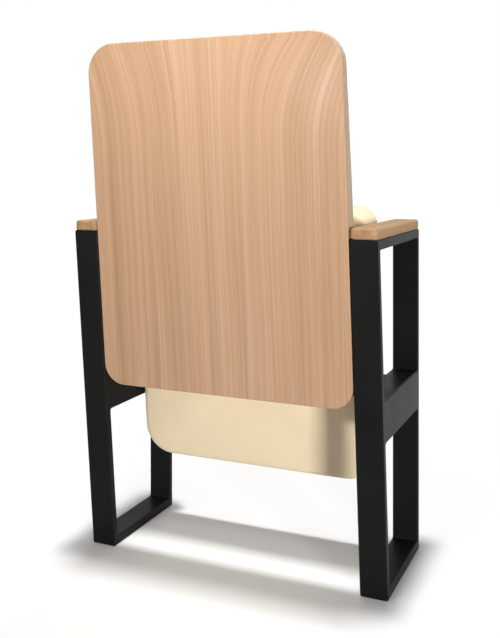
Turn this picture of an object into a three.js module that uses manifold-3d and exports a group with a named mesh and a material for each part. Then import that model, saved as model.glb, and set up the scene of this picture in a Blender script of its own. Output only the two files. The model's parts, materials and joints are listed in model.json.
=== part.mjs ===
// Tip-up auditorium seat: two steel loop frames with oak armrests carry an oak-veneered back with
// an upholstered pad. The upholstered seat swings on a pivot bracket at each side and returns by a
// spring. It stands here as it does when nobody sits on it, tipped up against its upper stops.
// Millimetres, Z up, the sitter faces -Y. X is 0 midway between the frames.

import * as THREE from 'three';
import { mergeVertices } from 'three/addons/utils/BufferGeometryUtils.js';
import Module from 'manifold-3d';

const wasm = await Module();
wasm.setup();

// Driving dimensions

const clearWidth = 500;
const frameWidth = 50;
const frameHeight = 627;
const armDepth = 300;
const leanDegrees = 5.8;
const seatTravelDegrees = 91;

const legThickness = 12;
const railThickness = 18;
const runnerThickness = 18;
const crossbarHeight = 76;
const crossbarBottom = 275;
const armrestThickness = 18;

const backPanelBottom = 332;
const backPanelLength = 649;
const backPanelThickness = 12;
const backSideGap = 1.5;
const lugWeld = 3;

const seatSideGap = 5;
const seatRearReach = 147;
const seatFrontReach = 369;
const seatPanelThickness = 10;
const seatCushionRim = 75;

const pivotBehindLegFront = 30;
const pivotToUnderside = 26;

// Clearances: fit lies between touching or turning pieces, overrun lets a cut break through

const fit = 0.3;
const overrun = 3;
const roundSteps = 20;
const smallRoundSteps = 12;
const edgeSteps = 1;

// Places worked out from the driving dimensions. Back runs behind the rear foot of the frame.

const lean = THREE.MathUtils.degToRad(leanDegrees);
const seatTravel = THREE.MathUtils.degToRad(seatTravelDegrees);
const frameInside = clearWidth / 2;
const frameOutside = frameInside + frameWidth;
const topSetback = frameHeight * Math.tan(lean);
const frameFront = topSetback - armDepth;
const pivotY = frameFront + pivotBehindLegFront;
const pivotZ = crossbarBottom + crossbarHeight / 2;
const postThickness = backPanelThickness + lugWeld;
const seatHalfWidth = frameInside - seatSideGap;
const backHalfWidth = frameInside - backSideGap;

// Materials

const paintedSteel = new THREE.MeshStandardMaterial({
  color: 0x242424, roughness: 0.55, metalness: 0.3, flatShading: true });
const oak = new THREE.MeshStandardMaterial({
  color: 0xd4a67c, roughness: 0.5, metalness: 0, flatShading: true });
const plywood = new THREE.MeshStandardMaterial({
  color: 0xb98f62, roughness: 0.7, metalness: 0, flatShading: true });
const creamCloth = new THREE.MeshStandardMaterial({
  color: 0xe9d9b6, roughness: 0.9, metalness: 0, flatShading: true });
const zincSteel = new THREE.MeshStandardMaterial({
  color: 0xa9abad, roughness: 0.35, metalness: 0.9, flatShading: true });
const springSteel = new THREE.MeshStandardMaterial({
  color: 0x5c5f63, roughness: 0.4, metalness: 0.9, flatShading: true });
const nylon = new THREE.MeshStandardMaterial({
  color: 0xd8d5cb, roughness: 0.6, metalness: 0, flatShading: true });
const rubber = new THREE.MeshStandardMaterial({
  color: 0x161616, roughness: 0.85, metalness: 0, flatShading: true });

// Solids: joining, cutting and mirroring

function bare(geometry) {
  const copy = geometry.clone();
  copy.deleteAttribute('normal');
  copy.deleteAttribute('uv');
  return mergeVertices(copy);
}

function toSolid(geometry) {
  const merged = bare(geometry);
  return new wasm.Manifold(new wasm.Mesh({
    numProp: 3,
    vertProperties: Float32Array.from(merged.attributes.position.array),
    triVerts: Uint32Array.from(merged.index.array),
  }));
}

function toGeometry(solid) {
  const mesh = solid.getMesh();
  const geometry = new THREE.BufferGeometry();
  geometry.setAttribute('position', new THREE.BufferAttribute(mesh.vertProperties, 3));
  geometry.setIndex(new THREE.BufferAttribute(mesh.triVerts, 1));
  return geometry;
}

function join(base, additions) {
  return toGeometry(additions.reduce((solid, item) => solid.add(toSolid(item)), toSolid(base)));
}

function cut(base, tools) {
  return toGeometry(tools.reduce((solid, item) => solid.subtract(toSolid(item)), toSolid(base)));
}

function mirrored(geometry) {
  const twin = bare(geometry);
  twin.scale(-1, 1, 1);
  const index = twin.index.array;
  for (let i = 0; i < index.length; i += 3) {
    const second = index[i + 1];
    index[i + 1] = index[i + 2];
    index[i + 2] = second;
  }
  return twin;
}

// Outlines: each corner is [across, up, radius], listed anticlockwise

function roundedOutline(corners, Kind = THREE.Shape) {
  const path = new Kind();
  corners.forEach(([across, up, radius], i) => {
    const previous = corners.at(i - 1);
    const next = corners[(i + 1) % corners.length];
    const corner = new THREE.Vector2(across, up);
    const back = new THREE.Vector2(previous[0], previous[1]).sub(corner).normalize();
    const onward = new THREE.Vector2(next[0], next[1]).sub(corner).normalize();
    const halfAngle = Math.acos(THREE.MathUtils.clamp(back.dot(onward), -1, 1)) / 2;
    const tangent = radius / Math.tan(halfAngle);
    const start = corner.clone().addScaledVector(back, tangent);
    const end = corner.clone().addScaledVector(onward, tangent);
    const inward = back.clone().add(onward).normalize();
    const centre = corner.clone().addScaledVector(inward, radius / Math.sin(halfAngle));
    const startAngle = start.sub(centre).angle();
    const endAngle = end.sub(centre).angle();
    path.absarc(centre.x, centre.y, radius, startAngle, endAngle, back.cross(onward) > 0);
  });
  path.closePath();
  return path;
}

function roundedRectangle(left, right, bottom, top, bottomRadius, topRadius = bottomRadius) {
  return roundedOutline([
    [left, bottom, bottomRadius],
    [right, bottom, bottomRadius],
    [right, top, topRadius],
    [left, top, topRadius],
  ]);
}

// The outline that wraps round a ring of discs, each given as [across, up, radius]
function hullOutline(discs) {
  const points = discs.flatMap(([across, up, radius]) =>
    Array.from({ length: roundSteps }, (unused, step) => {
      const angle = (step / roundSteps) * 2 * Math.PI;
      return new THREE.Vector2(across + radius * Math.cos(angle), up + radius * Math.sin(angle));
    }));
  points.sort((a, b) => a.x - b.x || a.y - b.y);
  const halfHull = (ordered) => {
    const chain = [];
    for (const point of ordered) {
      while (chain.length > 1 && turn(chain.at(-2), chain.at(-1), point) <= 0) chain.pop();
      chain.push(point);
    }
    return chain.slice(0, -1);
  };
  return new THREE.Shape([...halfHull(points), ...halfHull([...points].reverse())]);
}

function turn(a, b, c) {
  return (b.x - a.x) * (c.y - a.y) - (b.y - a.y) * (c.x - a.x);
}

// Plates: an outline given thickness, with its edges eased by edge

function slab(shape, thickness, edge = 0, curveSegments = 3) {
  const geometry = new THREE.ExtrudeGeometry(shape, {
    depth: thickness - 2 * edge,
    bevelEnabled: edge > 0,
    bevelThickness: edge,
    bevelSize: edge,
    bevelOffset: -edge,
    bevelSegments: edgeSteps,
    curveSegments,
  });
  geometry.translate(0, 0, edge);
  return geometry;
}

// The outline is drawn in Y and Z, and the plate grows from x towards +X
function slabAcross(shape, x, thickness, edge, curveSegments) {
  const geometry = slab(shape, thickness, edge, curveSegments);
  geometry.applyMatrix4(new THREE.Matrix4().makeBasis(
    new THREE.Vector3(0, 1, 0), new THREE.Vector3(0, 0, 1), new THREE.Vector3(1, 0, 0)));
  geometry.translate(x, 0, 0);
  return geometry;
}

// The outline is drawn in X and Z, and the plate grows from y towards -Y
function slabForward(shape, y, thickness, edge, curveSegments) {
  const geometry = slab(shape, thickness, edge, curveSegments);
  geometry.rotateX(Math.PI / 2);
  geometry.translate(0, y, 0);
  return geometry;
}

function box(left, right, front, rear, bottom, top) {
  const geometry = new THREE.BoxGeometry(right - left, rear - front, top - bottom);
  geometry.translate((left + right) / 2, (front + rear) / 2, (bottom + top) / 2);
  return geometry;
}

// Turned pieces: the profile is a list of [radius, height], closed on the axis

function turnedAlongZ(profile, steps = smallRoundSteps) {
  const points = profile.map(([radius, height]) => new THREE.Vector2(radius, height));
  const geometry = new THREE.LatheGeometry(points, steps);
  geometry.rotateX(Math.PI / 2);
  return geometry;
}

function turnedAlongX(profile, steps = roundSteps) {
  const geometry = turnedAlongZ(profile, steps);
  geometry.rotateY(Math.PI / 2);
  return geometry;
}

function rodAlongX(radius, left, right, y, z, steps = roundSteps) {
  const geometry = turnedAlongX([[0, left], [radius, left], [radius, right], [0, right]], steps);
  geometry.translate(0, y, z);
  return geometry;
}

function rodAlongZ(radius, bottom, top, x, y, steps = smallRoundSteps) {
  const geometry = turnedAlongZ([[0, bottom], [radius, bottom], [radius, top], [0, top]], steps);
  geometry.translate(x, y, 0);
  return geometry;
}

// A pan-head screw with its head above the seat face at 0 and its shank below
function panHeadScrew({ headRadius, headHeight, shankRadius, shankLength }) {
  const tipLength = shankRadius;
  const crownShare = 0.6;
  return turnedAlongZ([
    [0, -shankLength],
    [shankRadius, tipLength - shankLength],
    [shankRadius, 0],
    [headRadius, 0],
    [headRadius, headHeight * crownShare],
    [headRadius * crownShare, headHeight],
    [0, headHeight],
  ]);
}

// Assembly

const seatAssembly = new THREE.Group();
const back = new THREE.Group();
const seat = new THREE.Group();
const sides = [{ name: 'right', sign: 1 }, { name: 'left', sign: -1 }];

back.rotation.x = -lean;
seat.rotation.x = -lean;
seat.position.set(0, pivotY, pivotZ);
seatAssembly.add(back, seat);

function place(name, geometry, material, parent = seatAssembly) {
  const mesh = new THREE.Mesh(bare(geometry), material.clone());
  mesh.name = name;
  parent.add(mesh);
  return mesh;
}

function placePair(name, geometry, material, parent) {
  for (const side of sides) {
    place(`${name}_${side.name}`, side.sign > 0 ? geometry : mirrored(geometry), material, parent);
  }
}

// A point given in the seat's own directions, along it from the pivot and out from the pivot to its
// sitting side, as Y and Z from the pivot once the seat has turned down by turnedDown
function fromPivot(along, out, turnedDown) {
  const angle = lean - turnedDown;
  return {
    y: along * Math.sin(angle) + out * Math.cos(angle),
    z: along * Math.cos(angle) - out * Math.sin(angle),
  };
}

// Stop bracket: its plate carries the pivot and two buffer pins, and is screwed to the crossbar

const bracketThickness = 4.5;
const bracketPivotRadius = 17;
const bracketRimRadius = 9;
const bracketScrewRadius = 10;
const bracketEdge = 0.8;
const bracketScrew = { headRadius: 6, headHeight: 3.5, shankRadius: 3, shankLength: 18 };
const bracketScrewDrop = 21;
const bracketScrewReach = 20;
const bracketScrewPlaces = [
  { y: -bracketScrewReach, z: -bracketScrewDrop },
  { y: bracketScrewReach, z: bracketScrewDrop },
];

const pivotPinRadius = 7;
const pivotPinGrip = 20;
const pivotHeadRadius = 11;
const pivotHeadHeight = 6;
const pivotChamfer = 1;
const socketShare = 0.6;

const bushWall = 2;
const bushFlangeThickness = 1.5;
const bushFlangeRadius = 12.5;

// The return spring's wire and coil, which the hinge straddles and the bracket anchors

const springWireRadius = 1.4;
const springPinGap = 3.8;
const springCoilGap = 0.7;
const springTurns = 4.25;
const springWebGap = 2.5;
const springAnchorReach = 23;
const springAnchorDepth = 3;
const springBendRadius = 4;
const springLegAlong = 36;
const springSides = 6;
const springStepsPerTurn = 8;
const springCoilRadius = pivotPinRadius + springPinGap + springWireRadius;
const springPitch = 2 * springWireRadius + springCoilGap;
const springLength = springPitch * springTurns;

// The seat hinge straddles the spring with two webs, and its flange meets the buffers

const hingeFlangeThickness = 4;
const hingeWebThickness = 4;
const hingeFootReach = 14;
const hingeClearSpan = springLength + 2 * (springWireRadius + springWebGap);
const bracketInside = frameInside - bracketThickness;
const outerWebOutside = bracketInside - bushFlangeThickness - 2 * fit;
const outerWebInside = outerWebOutside - hingeWebThickness;
const innerWebOutside = outerWebInside - hingeClearSpan;
const innerWebInside = innerWebOutside - hingeWebThickness;
const pivotHeadOutside = innerWebInside - bushFlangeThickness - 2 * fit;
const springOutside = outerWebInside - springWireRadius - springWebGap;
const springInside = springOutside - springLength;
const flangeFace = pivotToUnderside - hingeFlangeThickness;

const bufferRadius = 8;
const bufferPinRadius = 4;
const bufferPinGap = 4;
const bufferPinEnd = 0.5;
const bufferLip = 1;
const bufferWebGap = 2;
const bufferSpringGap = 1.5;
const bufferAlong = hingeFootReach + bufferPinGap + bufferPinRadius;
const bufferOut = flangeFace - bufferRadius - fit;
const upperStop = fromPivot(-bufferAlong, bufferOut, 0);
const lowerStop = fromPivot(bufferAlong, bufferOut, seatTravel);
const bufferOutside = outerWebInside - bufferWebGap;
const bufferInside = springInside + springWireRadius + bufferSpringGap;

function countersink(screw, x, y, z) {
  const tool = turnedAlongX([
    [0, -screw.shankLength - fit],
    [screw.shankRadius + fit, -screw.shankLength - fit],
    [screw.shankRadius + fit, -screw.headHeight - fit],
    [screw.headRadius + fit, 0],
    [screw.headRadius + fit, overrun],
    [0, overrun],
  ], smallRoundSteps);
  tool.rotateY(Math.PI);
  tool.translate(x, y, z);
  return tool;
}

function countersunkScrew(screw) {
  const tipLength = screw.shankRadius;
  const geometry = turnedAlongX([
    [0, -screw.shankLength],
    [screw.shankRadius, tipLength - screw.shankLength],
    [screw.shankRadius, -screw.headHeight],
    [screw.headRadius, -fit],
    [0, -fit],
  ], smallRoundSteps);
  geometry.rotateY(Math.PI);
  return geometry;
}

function stopBracketGeometry() {
  const plate = slabAcross(hullOutline([
    [0, 0, bracketPivotRadius],
    [lowerStop.y, lowerStop.z, bracketRimRadius],
    [upperStop.y, upperStop.z, bracketRimRadius],
    ...bracketScrewPlaces.map(({ y, z }) => [y, z, bracketScrewRadius]),
  ]), bracketInside, bracketThickness, bracketEdge);
  const pins = [lowerStop, upperStop].map(({ y, z }) =>
    rodAlongX(bufferPinRadius, bufferInside - bufferPinEnd, bracketInside + overrun, y, z));
  const pivotHole = rodAlongX(
    pivotPinRadius + fit, bracketInside - overrun, frameInside + overrun, 0, 0);
  const anchorHole = rodAlongX(
    springWireRadius + fit, bracketInside - overrun, frameInside + overrun,
    -springAnchorReach, -springCoilRadius, smallRoundSteps);
  const screwHoles = bracketScrewPlaces.map(({ y, z }) =>
    countersink(bracketScrew, bracketInside, y, z));
  const geometry = cut(join(plate, pins), [pivotHole, anchorHole, ...screwHoles]);
  geometry.translate(0, pivotY, pivotZ);
  return geometry;
}

function bufferGeometry(stop) {
  const bore = bufferPinRadius + fit;
  const geometry = turnedAlongX([
    [bore, bufferInside],
    [bufferRadius - bufferLip, bufferInside],
    [bufferRadius, bufferInside + bufferLip],
    [bufferRadius, bufferOutside - bufferLip],
    [bufferRadius - bufferLip, bufferOutside],
    [bore, bufferOutside],
    [bore, bufferInside],
  ]);
  geometry.translate(0, pivotY + stop.y, pivotZ + stop.z);
  return geometry;
}

function pivotPinGeometry() {
  const chamfer = pivotChamfer;
  const headFace = pivotHeadOutside - pivotHeadHeight;
  const socketRadius = pivotPinRadius * socketShare;
  const socketDepth = pivotHeadHeight * socketShare;
  const tip = frameInside + pivotPinGrip;
  const geometry = turnedAlongX([
    [0, headFace + socketDepth],
    [socketRadius, headFace + socketDepth],
    [socketRadius, headFace],
    [pivotHeadRadius - chamfer, headFace],
    [pivotHeadRadius, headFace + chamfer],
    [pivotHeadRadius, pivotHeadOutside],
    [pivotPinRadius, pivotHeadOutside],
    [pivotPinRadius, tip - chamfer],
    [pivotPinRadius - chamfer, tip],
    [0, tip],
  ]);
  geometry.translate(0, pivotY, pivotZ);
  return geometry;
}

placePair('stop_bracket', stopBracketGeometry(), paintedSteel);
placePair('lower_stop_buffer', bufferGeometry(lowerStop), rubber);
placePair('upper_stop_buffer', bufferGeometry(upperStop), rubber);
placePair('pivot_pin', pivotPinGeometry(), zincSteel);

bracketScrewPlaces.forEach(({ y, z }, i) => {
  const geometry = countersunkScrew(bracketScrew);
  geometry.translate(bracketInside, pivotY + y, pivotZ + z);
  placePair(`bracket_screw_${i + 1}`, geometry, zincSteel);
});

// Return spring: a torsion spring round the pivot pin, anchored in the bracket at one end and
// pressing the seat hinge up with the other

function springRoute() {
  const tip = fromPivot(springLegAlong, flangeFace - springWireRadius - fit, 0);
  const points = [
    new THREE.Vector3(bracketInside + springAnchorDepth, -springAnchorReach, -springCoilRadius),
    new THREE.Vector3(bracketInside, -springAnchorReach, -springCoilRadius),
    new THREE.Vector3(
      springOutside + springBendRadius, -springAnchorReach, -springCoilRadius),
    new THREE.Vector3(
      springOutside, springBendRadius - springAnchorReach, -springCoilRadius),
  ];
  const steps = Math.round(springTurns * springStepsPerTurn);
  for (let step = 0; step <= steps; step += 1) {
    const turned = (step / springStepsPerTurn) * 2 * Math.PI;
    points.push(new THREE.Vector3(
      springOutside - (springPitch * step) / springStepsPerTurn,
      springCoilRadius * Math.sin(turned),
      -springCoilRadius * Math.cos(turned)));
  }
  points.push(new THREE.Vector3(
    springInside, (springCoilRadius + tip.y) / 2, tip.z / 2));
  points.push(new THREE.Vector3(springInside, tip.y, tip.z));
  return new THREE.CatmullRomCurve3(points, false, 'centripetal');
}

function leastSelfGap(route, samples, wireRadius) {
  const points = route.getSpacedPoints(samples);
  const apart = Math.ceil(samples / (2 * springTurns));
  let least = Infinity;
  for (let i = 0; i < points.length; i += 1) {
    for (let j = i + apart; j < points.length; j += 1) {
      least = Math.min(least, points[i].distanceTo(points[j]));
    }
  }
  return least - 2 * wireRadius;
}

function returnSpringGeometry() {
  const route = springRoute();
  const section = new THREE.Shape(Array.from({ length: springSides }, (unused, side) => {
    const angle = (side / springSides) * 2 * Math.PI;
    return new THREE.Vector2(
      springWireRadius * Math.cos(angle), springWireRadius * Math.sin(angle));
  }));
  const steps = Math.round((springTurns + 2) * springStepsPerTurn);
  const geometry = new THREE.ExtrudeGeometry(section, {
    steps, extrudePath: route, bevelEnabled: false });
  const samples = steps * 4;
  console.log('least gap between spring coils, mm:',
    leastSelfGap(route, samples, springWireRadius).toFixed(2));
  geometry.translate(0, pivotY, pivotZ);
  return geometry;
}

placePair('return_spring', returnSpringGeometry(), springSteel);

// Side frames: a welded loop of flat steel tube with a deep crossbar, and two lugs for the back

const frameCornerRadius = 4;
const frameEdge = 2;
const lugThickness = 5;
const lugLength = 35;
const lugHeight = 40;
const lugCornerRadius = 8;
const lugScrewShare = 0.7;
const lowerLugRise = 45;
const upperLugDrop = 27;
const lugHeights = [backPanelBottom + lowerLugRise, frameHeight - railThickness - upperLugDrop];
const screwBiteShare = 0.65;
const backScrew = {
  headRadius: 5.5,
  headHeight: 3.6,
  shankRadius: 3,
  shankLength: lugThickness + backPanelThickness * screwBiteShare,
};
const armrestScrew = {
  headRadius: 5,
  headHeight: 3,
  shankRadius: 2.5,
  shankLength: railThickness + armrestThickness * screwBiteShare,
};
const armrestScrewInset = 55;
const lugFace = -backPanelThickness - fit;
const lugScrewX = frameInside - lugLength * lugScrewShare;
const armrestScrewPlaces = [
  frameFront + armrestScrewInset,
  topSetback - armrestScrewInset,
];
const armrestX = frameInside + frameWidth / 2;

// Where the leaning rear post's front face lies at a given height
function postFrontY(height) {
  return height * Math.tan(lean) - postThickness / Math.cos(lean);
}

function windowOutline(bottom, top) {
  const legBack = frameFront + legThickness;
  return roundedOutline([
    [legBack, bottom, frameCornerRadius],
    [postFrontY(bottom), bottom, frameCornerRadius],
    [postFrontY(top), top, frameCornerRadius],
    [legBack, top, frameCornerRadius],
  ], THREE.Path);
}

function frameOutline() {
  const outline = roundedOutline([
    [frameFront, 0, frameCornerRadius],
    [0, 0, frameCornerRadius],
    [topSetback, frameHeight, frameCornerRadius],
    [frameFront, frameHeight, frameCornerRadius],
  ]);
  outline.holes.push(windowOutline(runnerThickness, crossbarBottom));
  outline.holes.push(windowOutline(crossbarBottom + crossbarHeight, frameHeight - railThickness));
  return outline;
}

function backLug(height) {
  const shape = roundedRectangle(
    frameInside - lugLength, frameInside + overrun,
    height - lugHeight / 2, height + lugHeight / 2, lugCornerRadius);
  const lug = slabForward(shape, lugFace, lugThickness, 0);
  lug.rotateX(-lean);
  return lug;
}

function backScrewTool(height) {
  const tool = turnedAlongZ([
    [0, -overrun], [backScrew.shankRadius + fit, -overrun],
    [backScrew.shankRadius + fit, lugThickness + overrun], [0, lugThickness + overrun],
  ]);
  tool.rotateX(Math.PI / 2);
  tool.translate(lugScrewX, lugFace, height);
  tool.rotateX(-lean);
  return tool;
}

function sideFrameGeometry() {
  const loop = slabAcross(frameOutline(), frameInside, frameWidth, frameEdge);
  const lugs = lugHeights.map(backLug);
  const lugHoles = lugHeights.map(backScrewTool);
  const railHoles = armrestScrewPlaces.map((y) => rodAlongZ(
    armrestScrew.shankRadius + fit, frameHeight - railThickness - overrun,
    frameHeight + overrun, armrestX, y));
  const pivotHole = rodAlongX(
    pivotPinRadius + fit, frameInside - overrun, frameInside + pivotPinGrip + fit, pivotY, pivotZ);
  const bracketHoles = bracketScrewPlaces.map(({ y, z }) => rodAlongX(
    bracketScrew.shankRadius + fit, frameInside - overrun,
    bracketInside + bracketScrew.shankLength + fit, pivotY + y, pivotZ + z, smallRoundSteps));
  return cut(join(loop, lugs), [...lugHoles, ...railHoles, pivotHole, ...bracketHoles]);
}

placePair('side_frame', sideFrameGeometry(), paintedSteel);

// Armrests: oak boards flush with the frame's top rail, screwed from below

const armrestCornerRadius = 10;
const armrestEdge = 2;

function armrestGeometry() {
  const shape = roundedRectangle(
    frameInside, frameOutside, frameFront, topSetback, armrestCornerRadius);
  const board = slab(shape, armrestThickness, armrestEdge, 4);
  board.translate(0, 0, frameHeight);
  const depth = armrestScrew.shankLength - railThickness + fit;
  const holes = armrestScrewPlaces.map((y) => rodAlongZ(
    armrestScrew.shankRadius + fit, frameHeight - overrun, frameHeight + depth, armrestX, y));
  return cut(board, holes);
}

placePair('armrest', armrestGeometry(), oak);

armrestScrewPlaces.forEach((y, i) => {
  const geometry = panHeadScrew(armrestScrew);
  geometry.rotateX(Math.PI);
  geometry.translate(armrestX, y, frameHeight - railThickness - fit);
  placePair(`armrest_screw_${['front', 'rear'][i]}`, geometry, zincSteel);
});

// Cushions: rings of one rounded outline, from the flat base up a drawn-in side, round the edge
// and over the crown. Depth grows towards +Y.

const cushionCornerSteps = 6;
const cushionSideSteps = 6;
const cushionEdgeSteps = 4;
const cushionSideShares = [[1, 0], [0.3, 0.3], [0, 0.75]];
const crownShares = [0.86, 0.68, 0.48, 0.26];

function cornerPoints(centreX, centreZ, radius, startAngle) {
  return Array.from({ length: cushionCornerSteps + 1 }, (unused, step) => {
    const angle = startAngle + (step / cushionCornerSteps) * (Math.PI / 2);
    return [centreX + radius * Math.cos(angle), centreZ + radius * Math.sin(angle)];
  });
}

function cushionRing(size, inset) {
  const halfWidth = size.halfWidth - inset;
  const bottom = size.bottom + inset;
  const top = size.top - inset;
  const low = size.bottomRadius - inset;
  const high = size.topRadius - inset;
  const corners = [
    cornerPoints(halfWidth - low, bottom + low, low, -Math.PI / 2),
    cornerPoints(halfWidth - high, top - high, high, 0),
    cornerPoints(high - halfWidth, top - high, high, Math.PI / 2),
    cornerPoints(low - halfWidth, bottom + low, low, Math.PI),
  ];
  return corners.flatMap((points, i) => {
    const from = points.at(-1);
    const to = corners[(i + 1) % corners.length][0];
    const between = Array.from({ length: cushionSideSteps - 1 }, (unused, step) => {
      const share = (step + 1) / cushionSideSteps;
      return [from[0] + (to[0] - from[0]) * share, from[1] + (to[1] - from[1]) * share];
    });
    return [...points, ...between];
  });
}

function cushionGeometry(size) {
  const middle = (size.bottom + size.top) / 2;
  const rings = cushionSideShares.map(([insetShare, depthShare]) => ({
    inset: size.drawIn * insetShare,
    depth: (rim) => (rim - size.edgeRadius) * depthShare,
  }));
  for (let step = 0; step <= cushionEdgeSteps; step += 1) {
    const angle = (step / cushionEdgeSteps) * (Math.PI / 2);
    rings.push({
      inset: size.edgeRadius * (1 - Math.cos(angle)),
      depth: (rim) => rim - size.edgeRadius * (1 - Math.sin(angle)),
    });
  }
  for (const share of crownShares) {
    rings.push({
      inset: size.edgeRadius, share, depth: (rim) => rim + size.crown * (1 - share ** 2) });
  }
  const positions = [];
  const index = [];
  for (const { inset, share = 1, depth } of rings) {
    for (const [x, z] of cushionRing(size, inset)) {
      const height = middle + (z - middle) * share;
      positions.push(x * share, size.base + depth(size.rimAt(height)), height);
    }
  }
  const around = positions.length / 3 / rings.length;
  for (let ring = 0; ring + 1 < rings.length; ring += 1) {
    for (let i = 0; i < around; i += 1) {
      const a = ring * around + i;
      const b = ring * around + ((i + 1) % around);
      index.push(a, a + around, b, b, a + around, b + around);
    }
  }
  const addCap = (firstPoint, depth, outward) => {
    const centre = positions.length / 3;
    positions.push(0, size.base + depth, middle);
    for (let i = 0; i < around; i += 1) {
      const a = firstPoint + i;
      const b = firstPoint + ((i + 1) % around);
      index.push(...(outward ? [centre, b, a] : [centre, a, b]));
    }
  };
  addCap(0, 0, false);
  addCap((rings.length - 1) * around, size.rimAt(middle) + size.crown, true);
  const geometry = new THREE.BufferGeometry();
  geometry.setAttribute('position', new THREE.Float32BufferAttribute(positions, 3));
  geometry.setIndex(index);
  return geometry;
}

// Back: a veneered outer panel, an inner board and a pad that is thick at the loins and thin at
// the shoulders

const backBottomRadius = 40;
const backTopRadius = 56;
const panelEdge = 1.5;
const padInset = 0.5;
const padFoamBottom = 21;
const padFoamLoin = 28;
const padFoamTop = 8;
const padLoinRise = 228;
const padEdgeRadius = 4.5;
const padCrown = 5;
const padDrawIn = 2;
const backBoardThickness = lugThickness + backScrew.headHeight + fit;
const backBoardInset = 14;
const lugSlotGap = 1;
const clipGripShare = 0.6;
const clipSpreadShare = 0.6;
const lowerClipRise = 120;
const upperClipDrop = 70;
const backClip = {
  radius: 4,
  headRadius: 7,
  headHeight: 2,
  grip: backPanelThickness * clipGripShare,
};
const backPanelTop = backPanelBottom + backPanelLength;
const padRear = backPanelThickness + fit;
const backClipHeights = [backPanelBottom + lowerClipRise, backPanelTop - upperClipDrop];
const backClipPlaces = backClipHeights.flatMap((height) => sides.map((side) => (
  { x: side.sign * backHalfWidth * clipSpreadShare, height, side: side.name })));

function backOutline(inset) {
  return roundedRectangle(
    inset - backHalfWidth, backHalfWidth - inset, backPanelBottom + inset, backPanelTop - inset,
    backBottomRadius - inset, backTopRadius - inset);
}

// A hole running forward from y in the back's own directions
function holeForward(radius, x, y, length, height) {
  const tool = turnedAlongZ([[0, 0], [radius, 0], [radius, length], [0, length]]);
  tool.rotateX(Math.PI / 2);
  tool.translate(x, y, height);
  return tool;
}

function backPanelGeometry() {
  const panel = slabForward(backOutline(0), 0, backPanelThickness, panelEdge, 6);
  const screwDepth = backScrew.shankLength - lugThickness + fit * 2;
  const screwHoles = sides.flatMap((side) => lugHeights.map((height) => holeForward(
    backScrew.shankRadius + fit, side.sign * lugScrewX, screwDepth - backPanelThickness,
    screwDepth + overrun, height)));
  const clipHoles = backClipPlaces.map(({ x, height }) => holeForward(
    backClip.radius + fit, x, backClip.grip + fit - backPanelThickness,
    backClip.grip + overrun, height));
  return cut(panel, [...screwHoles, ...clipHoles]);
}

function lugSpace(side, height, reach) {
  const near = frameInside - lugLength - lugSlotGap;
  const left = side.sign > 0 ? near : -reach;
  const right = side.sign > 0 ? reach : -near;
  const half = lugHeight / 2 + lugSlotGap;
  return box(left, right, lugFace - lugThickness - lugSlotGap, overrun - padRear,
    height - half, height + half);
}

function backBoardGeometry() {
  const board = slabForward(backOutline(backBoardInset), -padRear, backBoardThickness, 0, 4);
  const notches = sides.flatMap((side) => lugHeights.map((height) => {
    const notch = lugSpace(side, height, frameInside);
    notch.translate(0, -backBoardThickness / 2, 0);
    return join(notch, [lugSpace(side, height, frameInside)]);
  }));
  const clipHoles = backClipPlaces.map(({ x, height }) => holeForward(
    backClip.radius + fit, x, overrun - padRear, backBoardThickness + 2 * overrun, height));
  const headSpaces = backClipPlaces.map(({ x, height }) => holeForward(
    backClip.headRadius + fit, x, backClip.headHeight + fit - padRear - backBoardThickness,
    backClip.headHeight + overrun, height));
  return cut(board, [...notches, ...clipHoles, ...headSpaces]);
}

function backPadGeometry() {
  const bottom = backPanelBottom + padInset;
  const top = backPanelTop - padInset;
  const loin = backPanelBottom + padLoinRise;
  const foamAt = (height) => (height < loin
    ? THREE.MathUtils.mapLinear(height, bottom, loin, padFoamBottom, padFoamLoin)
    : THREE.MathUtils.mapLinear(height, loin, top, padFoamLoin, padFoamTop));
  const pad = cushionGeometry({
    halfWidth: backHalfWidth - padInset,
    bottom,
    top,
    bottomRadius: backBottomRadius - padInset,
    topRadius: backTopRadius - padInset,
    base: padRear,
    drawIn: padDrawIn,
    edgeRadius: padEdgeRadius,
    crown: padCrown,
    rimAt: (height) => backBoardThickness + foamAt(height),
  });
  pad.rotateZ(Math.PI);
  const pocket = slabForward(
    backOutline(backBoardInset - fit), overrun - padRear, backBoardThickness + overrun + fit, 0, 4);
  const slots = sides.flatMap((side) =>
    lugHeights.map((height) => lugSpace(side, height, frameInside)));
  return cut(pad, [pocket, ...slots]);
}

function backClipGeometry() {
  return turnedAlongZ([
    [0, -backClip.grip - backBoardThickness],
    [backClip.radius, -backClip.grip - backBoardThickness + backClip.radius / 2],
    [backClip.radius, -backClip.headHeight],
    [backClip.headRadius, -backClip.headHeight],
    [backClip.headRadius, 0],
    [0, 0],
  ]);
}

place('back_panel', backPanelGeometry(), oak, back);
place('back_board', backBoardGeometry(), plywood, back);
place('back_pad', backPadGeometry(), creamCloth, back);

lugHeights.forEach((height, i) => {
  const geometry = panHeadScrew(backScrew);
  geometry.rotateX(Math.PI / 2);
  geometry.translate(lugScrewX, lugFace - lugThickness - fit, height);
  placePair(`back_screw_${['lower', 'upper'][i]}`, geometry, zincSteel, back);
});

backClipPlaces.forEach(({ x, height, side }, i) => {
  const geometry = backClipGeometry();
  geometry.rotateX(Math.PI / 2);
  geometry.translate(x, -padRear - backBoardThickness, height);
  place(`back_clip_${i < sides.length ? 'lower' : 'upper'}_${side}`, geometry, nylon, back);
});

// Seat, drawn round the pivot: Z runs from its rear edge to its front edge, Y towards the sitter

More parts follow.
